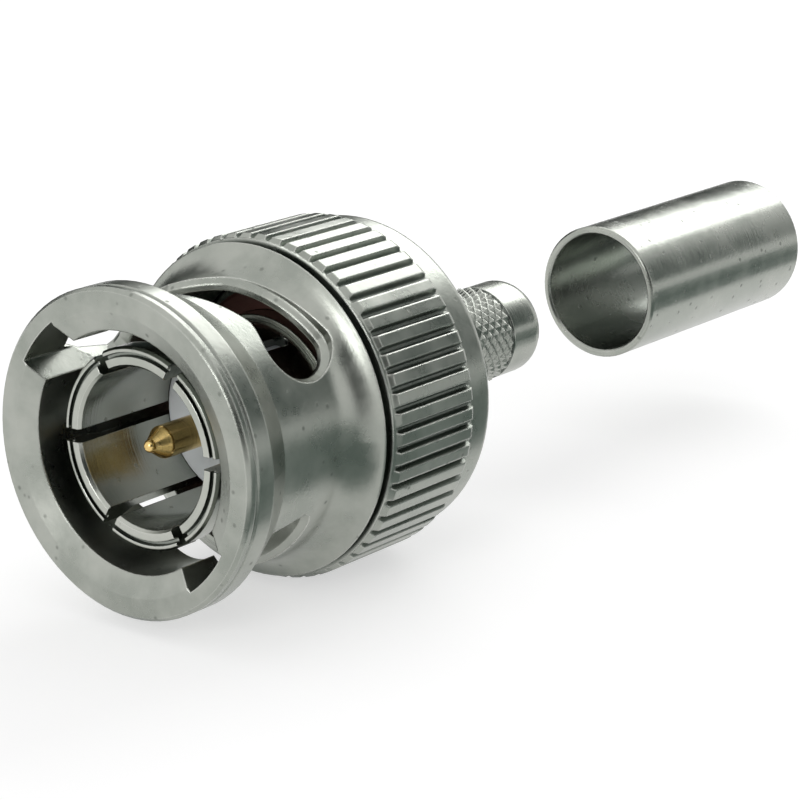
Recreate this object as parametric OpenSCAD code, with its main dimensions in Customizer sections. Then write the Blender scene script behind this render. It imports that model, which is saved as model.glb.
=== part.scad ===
// Coaxial bayonet plug (BNC style) with a crimp ferrule, for a thin coaxial cable.
// The axis of the plug lies along Y: the mouth is at Y = 0 and the cable leaves toward +Y.
// Clock angles are counted about the axis from +X toward +Z, as seen from the mouth.
// All sizes are in millimetres.

/* [View] */
// part to build, or all of them

/* [Coupling nut] */
// outer radius of the flange round the mouth
mouth_r = 6.7; // [6.65:0.05:6.8]
// radius where the flat face ends and the lead-in starts
face_in_r = 5.75; // [5.6:0.05:5.9]
// bore that takes the socket
bore_r = 4.92; // [4.88:0.01:5.0]
// depth of the lead-in cone
lead_in = 0.39; // [0.3:0.05:0.6]
// length of the straight part of the flange
flange_len = 1.4; // [1.2:0.1:1.5]
// radius of the smooth waist
waist_r = 5.9; // [5.85:0.05:6.0]
// distance from the mouth to the start of the waist
waist_start = 2.95; // [2.7:0.05:3.1]
// distance from the mouth to the start of the flare
flare_start = 6.15; // [6.0:0.05:6.4]
// radius of the concave flare
flare_r = 1.72; // [1.6:0.02:1.8]
// radius of the smooth collar in front of the grip
collar_r = 7.0; // [6.95:0.01:7.1]
// outer radius over the grip ribs
grip_r = 7.27; // [7.2:0.05:7.4]
// number of grip ribs
grip_ribs = 56; // [48:1:60]
// width of the flat top of a rib
rib_top = 0.48; // [0.3:0.02:0.54]
// depth of the grooves between ribs
rib_depth = 0.27; // [0.2:0.01:0.3]
// overall length of the nut
nut_len = 14.9; // [14.8:0.1:15.2]

/* [Bayonet tracks] */
// clock angle of the first entry groove
entry_clock = 138.5; // [135:0.5:140]
// width of the entry grooves
entry_w = 2.5; // [2.4:0.05:2.6]
// outer radius of the entry grooves
entry_r = 5.97; // [5.8:0.01:6.1]
// clock angle of the first lock hole
lock_clock = 43; // [41:0.5:48]
// distance from the mouth to the centre of the lock holes
lock_y = 5.47; // [5.4:0.01:5.5]
// radius of the lock holes
lock_r = 1.35; // [1.3:0.01:1.4]
// distance from the mouth to the back of the lock holes
lock_back = 6.95; // [6.85:0.05:7.1]
// clock angle of the hump that the stud must pass before it locks
hump_clock = 59; // [57:0.5:61]
// distance from the mouth to the hump
hump_y = 4.44; // [4.4:0.01:4.5]
// distance from the mouth to the front end of the open track
track_front = 2.2; // [2.1:0.05:2.5]
// distance from the mouth to the rear edge of the open track at the entry groove
track_back = 5.1; // [5.0:0.05:5.6]
// width of the bevel round the track
track_bevel = 0.22; // [0.1:0.01:0.3]

/* [Body and crimp stub] */
// radius of the flange that the spring pushes on
body_flange_r = 5.9; // [5.7:0.05:5.95]
// radius of the shoulder that stops the ferrule
shoulder_r = 4.5; // [4.5:0.1:5.0]
// distance from the mouth to the back of that shoulder
shoulder_y = 16.5; // [16:0.1:17]
// distance from the mouth to the end of the stub
stub_end = 25.3; // [24.3:0.5:27.3]
// radius of the stub over its knurl
stub_r = 2.2; // [2.1:0.05:2.3]
// length of the diamond knurl on the stub
stub_knurl_len = 2.4; // [1.8:0.2:3]
// number of diamonds round the stub
stub_diamonds = 22; // [18:1:26]
// bore for the insulation of the cable
cable_r = 1.5; // [1.3:0.05:1.6]

/* [Contacts] */
// outer radius at the tips of the spring fingers
finger_r = 4.13; // [4.05:0.01:4.15]
// inner radius of the spring fingers
finger_in_r = 3.3; // [3.2:0.05:3.4]
// distance from the mouth to the finger tips
finger_y = 1.08; // [1:0.02:1.3]
// number of spring fingers
fingers = 6; // [4:1:8]
// width of the slots between the fingers
finger_gap = 0.55; // [0.4:0.05:0.6]
// clock angle of the first slot
finger_clock = 2; // [0:1:30]
// radius of the centre pin
pin_r = 0.675; // [0.66:0.005:0.685]
// distance from the mouth to the tip of the pin
pin_y = 1.45; // [1.3:0.05:1.8]
// distance from the mouth to the face of the insulator
insulator_y = 6.25; // [6:0.05:6.5]

/* [Ferrule] */
// outer radius of the ferrule
ferrule_r = 3.16; // [3.1:0.01:3.3]
// inner radius of the ferrule
ferrule_in_r = 2.8; // [2.75:0.01:2.9]
// length of the ferrule
ferrule_len = 13.2; // [12:0.1:14]
// distance from the mouth to the ferrule before it is pushed on
ferrule_y = 32.4; // [30:0.1:36]

/* [Hidden] */
$fn = 96;
cut = 0.5;                                 // overrun of a cutting tool past the metal
fit_gap = 0.02;                            // gap between parts that are pressed together
// nut, outside
edge_bevel = 0.15;
rim_line_y = 0.5;
rim_line_depth = 0.1;
collar_y = flare_start + sqrt(pow(flare_r, 2) - pow(flare_r - (collar_r - 0.1 - waist_r), 2));
collar_line_y = collar_y + 0.12;
collar_line_w = 0.24;
collar_line_r = 6.7;
ring_r = 7.1;
grip_start = 8.35;
grip_end = 13.3;
band_r = 6.92;
tail_r = 6.45;
tail_round = 0.45;
// nut, inside
relief_y = 5.0;
relief_r = 5.4;
cavity_y = 10.0;
cavity_r = 6.1;
ring_groove_y = 13.05;
ring_groove_w = 0.55;
ring_groove_r = 6.45;
// bayonet tracks
track_step = 3;                            // clock angle between two sections of a track
track_end = entry_clock + 11.0;            // clock angle of the front corner
track_slant = 5.0;                         // how much further round the rear corner lies
track_wall = waist_r - track_bevel - 0.03; // radius where the bevel starts
track_out = 6.95;
track_in = 4.5;
track_drop_start = 88;                     // clock angles over which the rear edge steps forward
track_drop_end = 112;
corner_clock = 7;                          // span of the rounded rear corner
corner_y = 0.5;
// moving stack behind the flange
body_flange_y = cavity_y + 0.15;
body_flange_t = 0.95;
washer_in_r = 4.55;
washer_r = 5.95;
thrust_y = 12.55;
thrust_t = 0.42;
wave_y0 = body_flange_y + body_flange_t;
wave_t = 0.22;
wave_count = 3;
wave_r = 5.85;
snap_in_r = 5.25;
snap_r = 6.36;
snap_t = 0.4;
snap_gap = 1.4;
// body
neck_r = 4.3;
contact_seat_y = 12.0;
contact_seat_r = 3.85;
chamber_y = 13.6;
chamber_r = 3.4;
stub_neck_r = 2.05;
knurl_start = 20.55;
knurl_end = knurl_start + stub_knurl_len;
knurl_rows = 10;
knurl_depth = 0.16;
tip_r = 2.12;
tip_round = 0.8;
// contacts
shank_r = 3.75;
base_y = 8.25;
base_r = 3.94;
slot_end = 7.6;
insulator_r = finger_in_r - fit_gap;
pin_seat_r = 0.86;                         // radius of the pin inside the insulator
pin_shoulder_y = 9.0;
pin_shoulder_r = 1.15;
pin_end = 13.2;
gasket_y = 9.2;
gasket_r = 4.86;

// Turns the Z axis of its children onto +Y.
module along_axis() rotate([-90, 0, 0]) children();

// Moves its children from +X to a clock angle.
module at_clock(a) rotate([0, -a, 0]) children();

// Solid of revolution about the plug axis from a list of [radius, distance from the mouth].
module turned(outline) along_axis() rotate_extrude() polygon(outline);

// Ring of rectangular section about the plug axis.
module ring(r_in, r_out, y, t) turned([[r_in, y], [r_out, y], [r_out, y + t], [r_in, y + t]]);

// Arc of a circle as a list of points.
function arc(cx, cy, r, a0, a1, n) =
    [for (i = [0 : n]) [cx + r * cos(a0 + (a1 - a0) * i / n), cy + r * sin(a0 + (a1 - a0) * i / n)]];

// Smooth step from 0 to 1.
function ease(t) = let (u = min(1, max(0, t))) u * u * (3 - 2 * u);

// ---- coupling nut ----

flare_arc_end = 180 - acos(1 - (collar_r - 0.1 - waist_r) / flare_r);
nut_outline = concat(
    [[0, 0], [mouth_r - edge_bevel, 0], [mouth_r, edge_bevel],
     [mouth_r, rim_line_y - rim_line_depth], [mouth_r - rim_line_depth, rim_line_y],
     [mouth_r, rim_line_y + rim_line_depth], [mouth_r, flange_len],
     [waist_r + 0.06, waist_start - 0.05], [waist_r, waist_start]],
    arc(waist_r + flare_r, flare_start, flare_r, 180, flare_arc_end, 14),
    [[collar_r, collar_y + 0.04], [collar_r, collar_line_y - 0.05],
     [collar_line_r, collar_line_y], [collar_line_r, collar_line_y + collar_line_w],
     [ring_r, collar_line_y + collar_line_w + 0.04], [ring_r, grip_start],
     [grip_r - rib_depth, grip_start + 0.1], [grip_r - rib_depth, grip_end], [band_r, grip_end + 0.1]],
    arc(band_r - tail_round, nut_len - tail_round, tail_round, 0, 80, 8),
    [[tail_r, nut_len], [0, nut_len]]);

nut_bore = [
    [0, -cut], [face_in_r, -cut], [face_in_r, 0], [bore_r, lead_in],
    [bore_r, relief_y], [relief_r, relief_y + 0.3],
    [relief_r, cavity_y], [cavity_r, cavity_y],
    [cavity_r, ring_groove_y], [ring_groove_r, ring_groove_y],
    [ring_groove_r, ring_groove_y + ring_groove_w], [cavity_r, ring_groove_y + ring_groove_w],
    [cavity_r, nut_len - 0.15], [cavity_r + 0.15 + cut, nut_len + cut], [0, nut_len + cut]];

// Outline of the grip seen along the axis: one flat-topped rib after another.
function on_circle(r, w) = let (a = w / 2 / r * 180 / PI) [r, a];
rib_pitch = 360 / grip_ribs;
rib_gap = 0.04;
rib_foot = grip_r - rib_depth - 0.1;
rib_points = [for (i = [0 : grip_ribs - 1])
    let (c = i * rib_pitch, t = on_circle(grip_r, rib_top)[1], g = rib_pitch / 2 - on_circle(rib_foot, rib_gap)[1])
    each [for (p = [[rib_foot, c - g], [grip_r, c - t], [grip_r, c + t], [rib_foot, c + g]])
        [p[0] * cos(p[1]), p[0] * sin(p[1])]]];
rib_ends = [
    [rib_foot - 0.1, grip_start - 0.2], [rib_foot + 0.1, grip_start - 0.2],
    [grip_r, grip_start + 0.12], [grip_r, grip_end - 0.3],
    [grip_r - 0.08, grip_end - 0.12], [rib_foot - 0.05, grip_end - 0.05]];

module grip() {
    intersection() {
        translate([0, grip_start - 0.3, 0])
            along_axis()
                linear_extrude(height = grip_end - grip_start + 0.6)
                    polygon(rib_points);
        turned(rib_ends);
    }
}

// Front and rear edges of the open track, as distances from the mouth at a clock angle.
cam_end = entry_clock - 12.5;
front_lock = lock_y - lock_r;
rear_slope = 0.0165;
function front_edge(a) =
    a < hump_clock ? front_lock + (hump_y - front_lock) * ease((a - lock_clock) / (hump_clock - lock_clock))
    : max(track_front, hump_y + (track_front - hump_y) * (a - hump_clock) / (cam_end - hump_clock));
function corner(a) =
    let (u = max(0, a - track_end + corner_clock) / corner_clock) corner_y * (1 - sqrt(1 - u * u));
function rear_line(a) = lock_back - rear_slope * (a - lock_clock);
rear_drop = rear_line(track_drop_end) - track_back;
function rear_edge(a) =
    max(track_back, rear_line(a) - rear_drop * ease((a - track_drop_start) / (track_drop_end - track_drop_start)))
    - corner(a);
// The bevel fades out where the track runs in under the flange.
function front_bevel(a) = track_bevel * (1 - ease((a - 95) / 25));

// Section of a track from [clock angle, distance from the mouth] of the front and rear edges, first the
// foot of the bevel, then its outer edge; it starts at the foot of the front bevel and runs outward.
function track_section(front, front_out, rear_out, rear) =
    [for (p = [[track_wall, front], [track_wall + track_bevel, front_out], [track_out, front_out],
               [track_out, rear_out], [track_wall + track_bevel, rear_out],
               [track_wall, rear], [track_in, rear], [track_in, front]])
        [p[0] * cos(p[1][0]), p[1][1], p[0] * sin(p[1][0])]];

// Section through the round end of a track, u counted from its tip to the middle of the lock hole.
function lock_section(u) =
    let (reach = function (r) lock_clock - asin(r * cos(u) / waist_r))
    track_section(
        [reach(lock_r), lock_y - lock_r * sin(u)],
        [reach(lock_r + track_bevel), lock_y - (lock_r + track_bevel) * sin(u)],
        [reach(lock_r + track_bevel), lock_y + (lock_back - lock_y + track_bevel) * sin(u)],
        [reach(lock_r), lock_y + (lock_back - lock_y) * sin(u)]);

// Section at a clock angle past the lock hole.
function cam_section(a) =
    let (f = front_edge(a), b = rear_edge(a), e = front_bevel(a),
         r = a + track_slant * max(0, a - cam_end) / (track_end - cam_end))
    track_section([a, f], [a, f - e], [r, b + track_bevel], [r, b]);

// Tube of triangles through equal rings of points, closed at both ends by the faces listed in caps.
module lofted(rings, caps) {
    n = len(rings[0]);
    m = len(rings);
    polyhedron(
        points = [for (s = rings) each s],
        faces = concat(
            caps,
            [for (i = [0 : m - 2]) for (j = [0 : n - 1]) each
                [[i * n + j, (i + 1) * n + j, (i + 1) * n + (j + 1) % n],
                 [i * n + j, (i + 1) * n + (j + 1) % n, i * n + (j + 1) % n]]],
            [for (c = caps) [for (j = [len(c) - 1 : -1 : 0]) (m - 1) * n + c[j]]]));
}

module open_track() {
    lofted(
        concat([for (u = [6 : 12 : 84]) lock_section(u)],
               [for (a = [lock_clock : track_step : track_end - track_step / 2]) cam_section(a)],
               [cam_section(track_end)]),
        [[0, 1, 4, 5], [1, 2, 3, 4], [0, 5, 6, 7]]);
}

module entry_groove() {
    at_clock(entry_clock)
        intersection() {
            translate([track_in - 1, -cut, -entry_w / 2])
                cube([track_out, track_back - 1 + cut, entry_w]);
            turned([[0, -cut], [entry_r, -cut], [entry_r, track_back], [0, track_back]]);
        }
}

module coupling_nut() {
    color([0.62, 0.63, 0.6])
        difference() {
            union() {
                turned(nut_outline);
                grip();
            }
            turned(nut_bore);
            for (side = [0, 180])
                at_clock(side) {
                    open_track();
                    entry_groove();
                }
        }
}

// ---- stack behind the flange ----

module retaining_ring() {
    color([0.5, 0.51, 0.5])
        difference() {
            ring(snap_in_r, snap_r, ring_groove_y + 0.05, snap_t);
            translate([-snap_gap / 2, ring_groove_y - cut, -snap_r - cut])
                cube([snap_gap, snap_t + 2 * cut, snap_r - snap_in_r + 2 * cut]);
        }
}

module thrust_washer() {
    color([0.66, 0.66, 0.64])
        ring(washer_in_r, washer_r, thrust_y, thrust_t);
}

// Spring washer whose flat strip rises and falls three times round the axis.
module wave_washer() {
    rise = thrust_y - wave_y0 - wave_t - 0.04;
    mid = wave_y0 + 0.02 + rise / 2;
    steps = 72;
    color([0.7, 0.7, 0.68])
        polyhedron(
            points = [for (i = [0 : steps - 1])
                let (a = i * 360 / steps, y = mid + rise / 2 * cos(wave_count * a))
                each [for (p = [[washer_in_r, y], [wave_r, y], [wave_r, y + wave_t], [washer_in_r, y + wave_t]])
                    [p[0] * cos(a), p[1], p[0] * sin(a)]]],
            faces = [for (i = [0 : steps - 1]) for (j = [0 : 3])
                let (k = (i + 1) % steps, n = (j + 1) % 4)
                each [[4 * i + j, 4 * k + j, 4 * k + n], [4 * i + j, 4 * k + n, 4 * i + n]]]);
}

// ---- body ----

// Solid sleeve whose surface is a grid of small pyramids.
module diamond_knurl(r_peak, depth, y0, y1, count, rows) {
    n = 2 * count;
    ring_at = function (k) [for (j = [0 : n - 1])
        let (r = (j + k) % 2 == 0 || k == 0 || k == rows ? r_peak - depth : r_peak, a = j * 360 / n)
        [r * cos(a), y0 + (y1 - y0) * k / rows, r * sin(a)]];
    polyhedron(
        points = [for (k = [0 : rows]) each ring_at(k)],
        faces = concat(
            [[for (j = [0 : n - 1]) j]],
            [for (k = [0 : rows - 1]) for (j = [0 : n - 1])
                let (a = k * n + j, b = k * n + (j + 1) % n, c = a + n, d = b + n)
                each (j + k) % 2 == 0 ? [[a, d, b], [a, c, d]] : [[a, c, b], [b, c, d]]],
            [[for (j = [n - 1 : -1 : 0]) rows * n + j]]));
}

module body() {
    flange_back = body_flange_y + body_flange_t;
    color([0.6, 0.61, 0.58])
        difference() {
            union() {
                turned(concat(
                    [[0, body_flange_y], [body_flange_r - 0.1, body_flange_y],
                     [body_flange_r, body_flange_y + 0.1], [body_flange_r, flange_back],
                     [neck_r, flange_back], [neck_r, 15.6],
                     [shoulder_r, 15.7], [shoulder_r, shoulder_y - 0.2], [shoulder_r - 0.2, shoulder_y],
                     [stub_neck_r, shoulder_y], [stub_neck_r, knurl_end],
                     [tip_r, knurl_end]],
                    arc(tip_r - tip_round, stub_end - tip_round, tip_round, 0, 75, 8),
                    [[0, stub_end - tip_round * (1 - sin(75))]]));
                diamond_knurl(stub_r, knurl_depth, knurl_start, knurl_end, stub_diamonds, knurl_rows);
            }
            turned([
                [0, body_flange_y - cut], [contact_seat_r + fit_gap, body_flange_y - cut],
                [contact_seat_r + fit_gap, contact_seat_y], [chamber_r, contact_seat_y],
                [chamber_r, chamber_y], [cable_r, chamber_y + 0.6],
                [cable_r, stub_end + cut], [0, stub_end + cut]]);
        }
}

module gasket() {
    color([0.5, 0.26, 0.2])
        turned([
            [base_r + fit_gap, gasket_y], [gasket_r - 0.15, gasket_y], [gasket_r, gasket_y + 0.15],
            [gasket_r, body_flange_y - 0.15], [gasket_r - 0.15, body_flange_y],
            [base_r + fit_gap, body_flange_y]]);
}

// ---- contacts ----

module outer_contact() {
    color([0.58, 0.58, 0.54])
        difference() {
            turned([
                [finger_in_r, finger_y + 0.14], [finger_in_r + 0.12, finger_y],
                [finger_in_r + 0.42, finger_y], [finger_in_r + 0.46, finger_y + 0.22],
                [finger_in_r + 0.58, finger_y + 0.22], [finger_in_r + 0.62, finger_y],
                [finger_r - 0.1, finger_y], [finger_r, finger_y + 0.14],
                [finger_r, finger_y + 1], [shank_r, finger_y + 1.6],
                [shank_r, base_y], [base_r - 0.04, base_y], [base_r, base_y + 0.04],
                [base_r, body_flange_y], [contact_seat_r, body_flange_y],
                [contact_seat_r, contact_seat_y], [finger_in_r, contact_seat_y]]);
            for (i = [0 : fingers - 1])
                at_clock(finger_clock + i * 360 / fingers) {
                    translate([finger_in_r - 1, finger_y - cut, -finger_gap / 2])
                        cube([3, slot_end - finger_y + cut, finger_gap]);
                    translate([finger_in_r - 1, slot_end, 0])
                        rotate([0, 90, 0])
                            cylinder(d = finger_gap, h = 3);
                }
        }
}

module insulator() {
    color([0.9, 0.92, 0.93])
        turned([
            [pin_seat_r + fit_gap, insulator_y], [insulator_r, insulator_y],
            [insulator_r, chamber_y], [pin_shoulder_r + fit_gap, chamber_y],
            [pin_shoulder_r + fit_gap, pin_shoulder_y], [pin_seat_r + fit_gap, pin_shoulder_y]]);
}

module contact_pin() {
    ball = 0.28;
    color([0.75, 0.6, 0.3])
        difference() {
            turned(concat(
                [[0, pin_y]],
                arc(0, pin_y + ball, ball, -60, 0, 5),
                [[pin_r - 0.02, pin_y + 0.85], [pin_r, pin_y + 0.92],
                 [pin_r, insulator_y], [pin_seat_r, insulator_y],
                 [pin_seat_r, pin_shoulder_y], [pin_shoulder_r, pin_shoulder_y],
                 [pin_shoulder_r, pin_end], [0, pin_end]]));
            turned([[0, pin_end - 3], [0.5, pin_end - 3], [0.5, pin_end + cut], [0, pin_end + cut]]);
        }
}

// ---- ferrule ----

module ferrule() {
    bevel = 0.1;
    back = ferrule_y + ferrule_len;
    color([0.64, 0.64, 0.6])
        turned([
            [ferrule_in_r + bevel, ferrule_y], [ferrule_r - bevel, ferrule_y], [ferrule_r, ferrule_y + bevel],
            [ferrule_r, back - bevel], [ferrule_r - bevel, back], [ferrule_in_r + bevel, back],
            [ferrule_in_r, back - bevel], [ferrule_in_r, ferrule_y + bevel]]);
}

coupling_nut();
retaining_ring();
thrust_washer();
wave_washer();
gasket();
outer_contact();
body();
insulator();
contact_pin();
ferrule();
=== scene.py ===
import math

import bpy
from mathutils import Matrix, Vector


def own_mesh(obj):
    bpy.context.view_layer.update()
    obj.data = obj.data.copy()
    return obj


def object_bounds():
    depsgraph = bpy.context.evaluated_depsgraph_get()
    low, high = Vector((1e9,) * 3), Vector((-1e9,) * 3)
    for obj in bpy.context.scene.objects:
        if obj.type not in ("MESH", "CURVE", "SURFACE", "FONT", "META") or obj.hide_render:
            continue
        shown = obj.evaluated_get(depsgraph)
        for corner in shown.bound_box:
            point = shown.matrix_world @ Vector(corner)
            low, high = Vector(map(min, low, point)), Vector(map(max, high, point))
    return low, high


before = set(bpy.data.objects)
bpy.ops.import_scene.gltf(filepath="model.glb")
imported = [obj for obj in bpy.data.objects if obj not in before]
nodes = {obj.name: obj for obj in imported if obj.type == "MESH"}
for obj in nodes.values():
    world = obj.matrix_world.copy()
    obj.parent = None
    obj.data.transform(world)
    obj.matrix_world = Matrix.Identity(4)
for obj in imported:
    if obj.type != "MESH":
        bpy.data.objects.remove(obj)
cad_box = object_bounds()
MM = 0.001


# ---- node helpers ----

def new_material(name):
    m = bpy.data.materials.new(name)
    m.use_nodes = True
    m.node_tree.nodes.clear()
    return m, Net(m.node_tree)


class Net:
    """A short way to write node trees."""

    def __init__(self, tree):
        self.t = tree

    def node(self, kind, **props):
        n = self.t.nodes.new(kind)
        for k, v in props.items():
            setattr(n, k, v)
        return n

    def link(self, a, b):
        self.t.links.new(a, b)

    def put(self, socket, value):
        """Link value to the socket if it is an output, otherwise set it."""
        if hasattr(value, "is_linked"):
            self.link(value, socket)
        else:
            socket.default_value = value

    def math(self, op, a, b, clamp=False):
        n = self.node("ShaderNodeMath", operation=op, use_clamp=clamp)
        self.put(n.inputs[0], a)
        self.put(n.inputs[1], b)
        return n.outputs[0]

    def place(self):
        """Place on the object, in metres."""
        return self.node("ShaderNodeTexCoord").outputs["Object"]

    def noise(self, vec, scale, detail, rough):
        n = self.node("ShaderNodeTexNoise")
        self.link(vec, n.inputs["Vector"])
        n.inputs["Scale"].default_value = scale
        n.inputs["Detail"].default_value = detail
        n.inputs["Roughness"].default_value = rough
        return n.outputs[0]

    def dots(self, vec, scale, size):
        """Small round dots, one somewhere in each cell: 1 at a dot's middle, 0 outside."""
        n = self.node("ShaderNodeTexVoronoi", feature="F1")
        self.link(vec, n.inputs["Vector"])
        n.inputs["Scale"].default_value = scale
        return self.ramp(n.outputs["Distance"], 0.3 * size, size, 1.0, 0.0)

    def ramp(self, value, lo, hi, out_lo=0.0, out_hi=1.0):
        n = self.node("ShaderNodeMapRange", interpolation_type="SMOOTHSTEP")
        self.link(value, n.inputs["Value"])
        n.inputs["From Min"].default_value = lo
        n.inputs["From Max"].default_value = hi
        n.inputs["To Min"].default_value = out_lo
        n.inputs["To Max"].default_value = out_hi
        return n.outputs[0]

    def mix(self, fac, a, b):
        """Mix two colours; the mix node has its colour sockets at inputs 6 and 7, output 2."""
        n = self.node("ShaderNodeMix", data_type="RGBA")
        self.put(n.inputs[0], fac)
        for sock, v in ((n.inputs[6], a), (n.inputs[7], b)):
            self.put(sock, (*v, 1.0) if isinstance(v, tuple) else v)
        return n.outputs[2]

    def bump(self, height, strength, distance, normal):
        n = self.node("ShaderNodeBump")
        self.link(height, n.inputs["Height"])
        n.inputs["Strength"].default_value = strength
        n.inputs["Distance"].default_value = distance
        self.link(normal, n.inputs["Normal"])
        return n.outputs[0]

    def stretched(self, vec, scale):
        n = self.node("ShaderNodeMapping")
        self.link(vec, n.inputs["Vector"])
        n.inputs["Scale"].default_value = scale
        return n.outputs[0]

    def edge_mask(self, radius):
        """1 on edges, 0 on flats: how far the rounded normal leaves the true one."""
        bevel = self.node("ShaderNodeBevel", samples=6)
        bevel.inputs["Radius"].default_value = radius
        geometry = self.node("ShaderNodeNewGeometry")
        dot = self.node("ShaderNodeVectorMath", operation="DOT_PRODUCT")
        self.link(bevel.outputs[0], dot.inputs[0])
        self.link(geometry.outputs["Normal"], dot.inputs[1])
        off = self.math("SUBTRACT", 1.0, dot.outputs["Value"])
        return self.ramp(off, *EDGE_TURN), bevel.outputs[0]

    def seen(self):
        """1 for camera, glossy and transmission rays, 0 for the light that falls on things."""
        path = self.node("ShaderNodeLightPath").outputs
        rays = self.math("ADD", path["Is Camera Ray"], path["Is Glossy Ray"])
        return self.math("ADD", rays, path["Is Transmission Ray"], clamp=True)

    def principled(self, tone, rough, normal):
        p = self.node("ShaderNodeBsdfPrincipled")
        self.link(tone, p.inputs["Base Color"])
        self.link(rough, p.inputs["Roughness"])
        self.link(normal, p.inputs["Normal"])
        self.surface(p)
        return p

    def surface(self, shader, kind="ShaderNodeOutputMaterial"):
        self.link(shader.outputs[0], self.node(kind).inputs[0])


# ---- materials ----

EDGE_TURN = (0.02, 0.25)            # how far the normal turns where an edge starts and is full
HOLLOW_SHADE = (0.30, 0.92)         # ambient occlusion at the bottom and at the rim of a hollow, for the painted shade there
# tone of the painted shade in hollows
PAINTED_SHADE_TONE = (0.05, 0.068, 0.058)
# sizes of the patterns, in cells per metre
CLOUD_SCALE = 420.0
GRAIN_SCALE = 5200.0
PIT_SCALE = 1300.0
TURNING_SCALE = (60.0, 9000.0, 60.0)
PIT_SIZE = 0.17                     # radius of a pit, in cells
METAL_RELIEF = 0.02 * MM


def plated_metal(name, base, dark, edge_wear_and_highlight, rough, edge=0.12, turned=0.0,
                 cast=1.0, painted_shade=0.6, spots=0.5, reach=1.2):
    """Satin plating: cloudy tone, fine cast grain, pits, edges lightened as polished wear and painted
    highlight, painted shade darkening the hollows.

    edge is the radius of the lightened edges, and reach how far off a wall the painted shade of a
    hollow still reaches, both in mm.
    """
    m, net = new_material(name)
    obj = net.place()
    cloud = net.noise(obj, CLOUD_SCALE, 4.0, 0.6)
    grain = net.noise(obj, GRAIN_SCALE, 3.0, 0.65)
    pits = net.dots(obj, PIT_SCALE, PIT_SIZE)
    edges, round_normal = net.edge_mask(edge * MM)
    ao = net.node("ShaderNodeAmbientOcclusion", samples=6)
    ao.inputs["Distance"].default_value = reach * MM
    hollow = net.ramp(ao.outputs["AO"], *HOLLOW_SHADE, 1.0, 0.0)

    tone = net.mix(net.ramp(cloud, 0.3, 0.7), dark, base)
    # edges lightened towards the edge colour: partly polished wear, partly a painted highlight
    tone = net.mix(net.math("MULTIPLY", edges, 0.85), tone, edge_wear_and_highlight)
    # painted shade: hollows found by ambient occlusion are darkened towards the shade tone
    tone = net.mix(net.math("MULTIPLY", hollow, painted_shade), tone, PAINTED_SHADE_TONE)
    tone = net.mix(net.math("MULTIPLY", pits, spots), tone, tuple(0.45 * c for c in dark))

    rough_v = net.ramp(cloud, 0.25, 0.75, *rough)
    rough_v = net.math("SUBTRACT", rough_v, net.math("MULTIPLY", edges, 0.10))
    rough_v = net.math("ADD", rough_v, net.math("MULTIPLY", pits, 0.18), clamp=True)

    height = net.math("ADD", net.math("MULTIPLY", grain, 0.55 * cast),
                      net.math("MULTIPLY", cloud, 0.35 * cast))
    height = net.math("SUBTRACT", height, net.math("MULTIPLY", pits, 0.9 * spots))
    if turned:
        lines = net.noise(net.stretched(obj, TURNING_SCALE), 1.0, 2.0, 0.5)
        height = net.math("ADD", height, net.math("MULTIPLY", lines, turned))
    normal = net.bump(height, 0.55, METAL_RELIEF, round_normal)

    net.principled(tone, rough_v, normal).inputs["Metallic"].default_value = 1.0
    return m


def plastic(name, base, shade, rough=(0.42, 0.6), grain=0.4, subsurface=0.0):
    """Plastic or rubber: faint cloudiness, fine matt grain, slightly polished edges."""
    m, net = new_material(name)
    obj = net.place()
    cloud = net.noise(obj, 380.0, 3.0, 0.55)
    fine = net.noise(obj, 6000.0, 2.0, 0.6)
    edges, round_normal = net.edge_mask(0.06 * MM)
    tone = net.mix(net.ramp(cloud, 0.3, 0.7), shade, base)
    rough_v = net.ramp(cloud, 0.3, 0.7, *rough)
    rough_v = net.math("SUBTRACT", rough_v, net.math("MULTIPLY", edges, 0.12), clamp=True)
    normal = net.bump(net.math("MULTIPLY", fine, grain), 0.4, 0.015 * MM, round_normal)
    p = net.principled(tone, rough_v, normal)
    if subsurface:
        p.inputs["Subsurface Weight"].default_value = subsurface
        p.inputs["Subsurface Radius"].default_value = (1.0, 1.0, 1.0)
        p.inputs["Subsurface Scale"].default_value = 0.4 * MM
    return m


# the third colour of each metal lightens its edges: partly polished wear, partly a painted highlight
NICKEL = (0.42, 0.435, 0.395)
NICKEL_DARK = (0.31, 0.33, 0.295)

# painted_shade is how strongly each metal's hollows are darkened as painted shade; a 5 mm reach
# darkens the whole inside of the ferrule
nickel_cast = plated_metal(
    "nickel_cast", NICKEL, NICKEL_DARK, (0.74, 0.75, 0.70), rough=(0.24, 0.36), painted_shade=0.7)
nickel_turned = plated_metal(
    "nickel_turned", NICKEL, NICKEL_DARK, (0.78, 0.79, 0.74), rough=(0.20, 0.30),
    turned=0.5, cast=0.5, spots=0.35, painted_shade=1.0, reach=0.3)
nickel_tube = plated_metal(
    "nickel_tube", NICKEL, (0.33, 0.35, 0.315), (0.80, 0.81, 0.75), rough=(0.20, 0.30),
    edge=0.08, turned=0.35, cast=0.6, spots=0.45, painted_shade=0.9, reach=5.0)
nickel_contact = plated_metal(
    "nickel_contact", (0.50, 0.51, 0.465), (0.40, 0.42, 0.375), (0.90, 0.91, 0.86),
    rough=(0.14, 0.26), edge=0.06, turned=0.4, cast=0.3, painted_shade=0.7, spots=0.2, reach=1.6)
spring_steel = plated_metal(
    "spring_steel", (0.34, 0.355, 0.34), (0.26, 0.275, 0.26), (0.60, 0.61, 0.59),
    rough=(0.20, 0.34), edge=0.05, cast=0.3, spots=0.2)
gold = plated_metal(
    "gold_plating", (0.86, 0.63, 0.26), (0.70, 0.48, 0.18), (0.97, 0.80, 0.45),
    rough=(0.16, 0.28), edge=0.05, turned=0.3, cast=0.3, painted_shade=0.4, spots=0.2)
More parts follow.
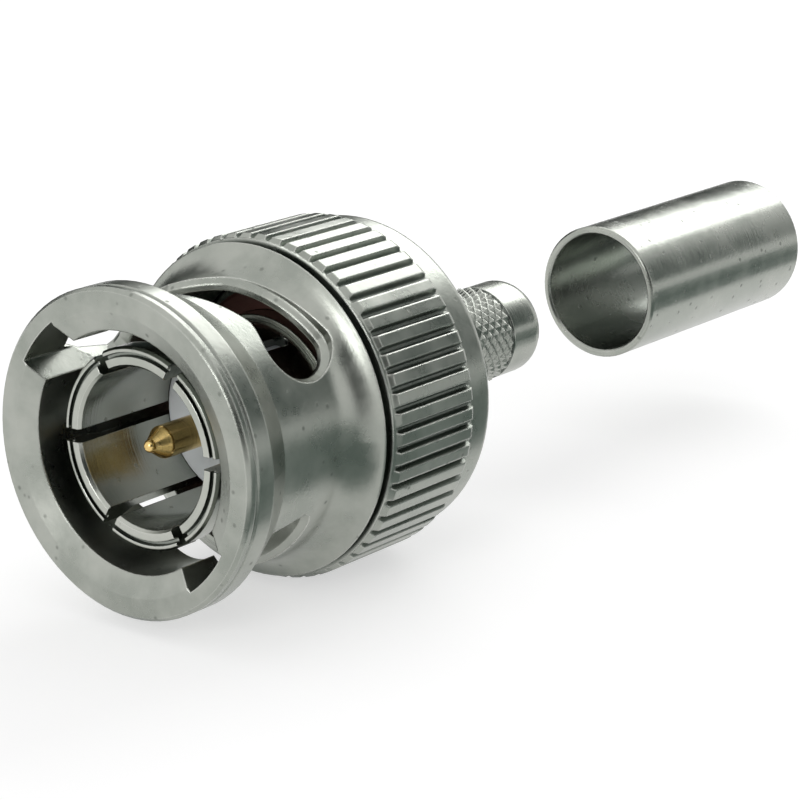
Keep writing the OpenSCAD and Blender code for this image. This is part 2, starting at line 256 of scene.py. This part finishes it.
ptfe = plastic("insulator_ptfe", (0.84, 0.875, 0.90), (0.78, 0.815, 0.84), subsurface=0.25)
silicone = plastic(
    "gasket_silicone", (0.15, 0.06, 0.048), (0.11, 0.045, 0.036), rough=(0.5, 0.68), grain=0.7)

finish = {
    "coupling_nut": nickel_cast, "body": nickel_turned, "ferrule": nickel_tube,
    "outer_contact": nickel_contact, "contact_pin": gold, "insulator": ptfe, "gasket": silicone,
    "retaining_ring": spring_steel, "thrust_washer": spring_steel, "wave_washer": spring_steel,
}
for name, material in finish.items():
    data = nodes[name].data
    data.materials.clear()
    data.materials.append(material)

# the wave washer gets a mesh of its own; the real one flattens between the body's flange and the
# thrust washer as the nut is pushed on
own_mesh(nodes["wave_washer"])


# ---- stage: floor, world, light ----

FLOOR_HALF = 2.0
FLOOR_GREY = 0.62
FLOOR_GLOW = 0.56                   # lifts the floor to white where it is seen
WORLD_LIGHT = 0.55                  # light that the world casts
WORLD_SEEN = 0.45                   # what brings it to white where it is seen
floor_z = cad_box[0].z


def in_scene(name, data):
    o = bpy.data.objects.new(name, data)
    bpy.context.scene.collection.objects.link(o)
    return o


def rectangle(name, half_w, half_h, z=0.0):
    me = bpy.data.meshes.new(name)
    corners = [(-half_w, -half_h, z), (half_w, -half_h, z), (half_w, half_h, z), (-half_w, half_h, z)]
    me.from_pydata(corners, [], [(0, 1, 2, 3)])
    return in_scene(name, me)


def aim(o, place, target, front):
    o.location = place
    o.rotation_mode = "QUATERNION"
    o.rotation_quaternion = (Vector(target) - Vector(place)).to_track_quat(front, "Y")


def card(name, centre, size, look_at, strength, colour):
    """A flat studio card that only reflections see."""
    o = rectangle(name, size[0] / 2, size[1] / 2)
    aim(o, centre, look_at, "Z")
    m, net = new_material(name)
    glow = net.node("ShaderNodeEmission")
    glow.inputs["Color"].default_value = (*colour, 1.0)
    glow.inputs["Strength"].default_value = strength
    net.surface(glow)
    o.data.materials.append(m)
    o.visible_camera = False
    o.visible_diffuse = False
    o.visible_shadow = False


def softbox(name, place, target, size, power):
    lamp = bpy.data.lights.new(name, "AREA")
    lamp.shape = "RECTANGLE"
    lamp.size, lamp.size_y = size
    lamp.energy = power
    aim(in_scene(name, lamp), place, target, "-Z")


floor = rectangle("floor", FLOOR_HALF, FLOOR_HALF, floor_z)
m, net = new_material("floor")
diffuse = net.node("ShaderNodeBsdfDiffuse")
diffuse.inputs["Color"].default_value = (FLOOR_GREY, FLOOR_GREY, FLOOR_GREY, 1.0)
glow = net.node("ShaderNodeEmission")
net.link(net.math("MULTIPLY", net.seen(), FLOOR_GLOW), glow.inputs["Strength"])
both = net.node("ShaderNodeAddShader")
net.link(diffuse.outputs[0], both.inputs[0])
net.link(glow.outputs[0], both.inputs[1])
net.surface(both)
floor.data.materials.append(m)

world = bpy.data.worlds.new("studio")
bpy.context.scene.world = world
world.use_nodes = True
world.node_tree.nodes.clear()
net = Net(world.node_tree)
background = net.node("ShaderNodeBackground")
background.inputs["Color"].default_value = (1.0, 1.0, 1.0, 1.0)
strength = net.math("ADD", net.math("MULTIPLY", net.seen(), WORLD_SEEN), WORLD_LIGHT)
net.link(strength, background.inputs["Strength"])
net.surface(background, "ShaderNodeOutputWorld")

middle = Vector((0.0, 0.018, 0.0))
key_place = middle + 0.27 * Vector((-0.20, 0.76, 0.62))
softbox("key", key_place, middle, (0.22, 0.10), 0.24)
softbox("front", (0.05, -0.20, 0.09), (0.0, 0.005, 0.0), (0.08, 0.08), 0.12)

# the cards are faintly green, for the tint that the metal has in the photograph
card("card_back_left", (-0.26, 0.20, 0.055), (0.44, 0.22), middle, 0.03, (0.78, 1.0, 0.92))
card("card_back_right", (0.22, 0.24, 0.13), (0.22, 0.22), middle, 0.14, (0.82, 1.0, 0.94))
card("card_front", (0.20, -0.19, 0.10), (0.30, 0.24), middle, 0.03, (0.78, 1.0, 0.93))
# this one lies just above the floor and looks straight up: a dim sheet that reflections see in place
# of the bright floor, a painted shade of the floor beside the object
low_x, low_y = 0.050, 0.052
card("floor_shade_card", (low_x, low_y, floor_z + 0.0004), (0.08, 0.12), (low_x, low_y, 1.0),
     0.26, (0.84, 1.0, 0.94))


# ---- camera, as solved from the photograph ----

CAMERA_PLACE = (72.66 * MM, -73.50 * MM, 33.28 * MM)
CAMERA_AZIMUTH = 38.64
CAMERA_ELEVATION = 16.78

cam = bpy.data.cameras.new("camera")
cam_o = in_scene("camera", cam)
cam_o.location = CAMERA_PLACE
cam_o.rotation_euler = (math.radians(90 - CAMERA_ELEVATION), 0.0, math.radians(CAMERA_AZIMUTH))
cam.sensor_width = 36.0
cam.lens = 125.3
cam.clip_start = 0.005
cam.clip_end = 20.0
bpy.context.scene.camera = cam_o
bpy.context.scene.view_settings.view_transform = "Standard"
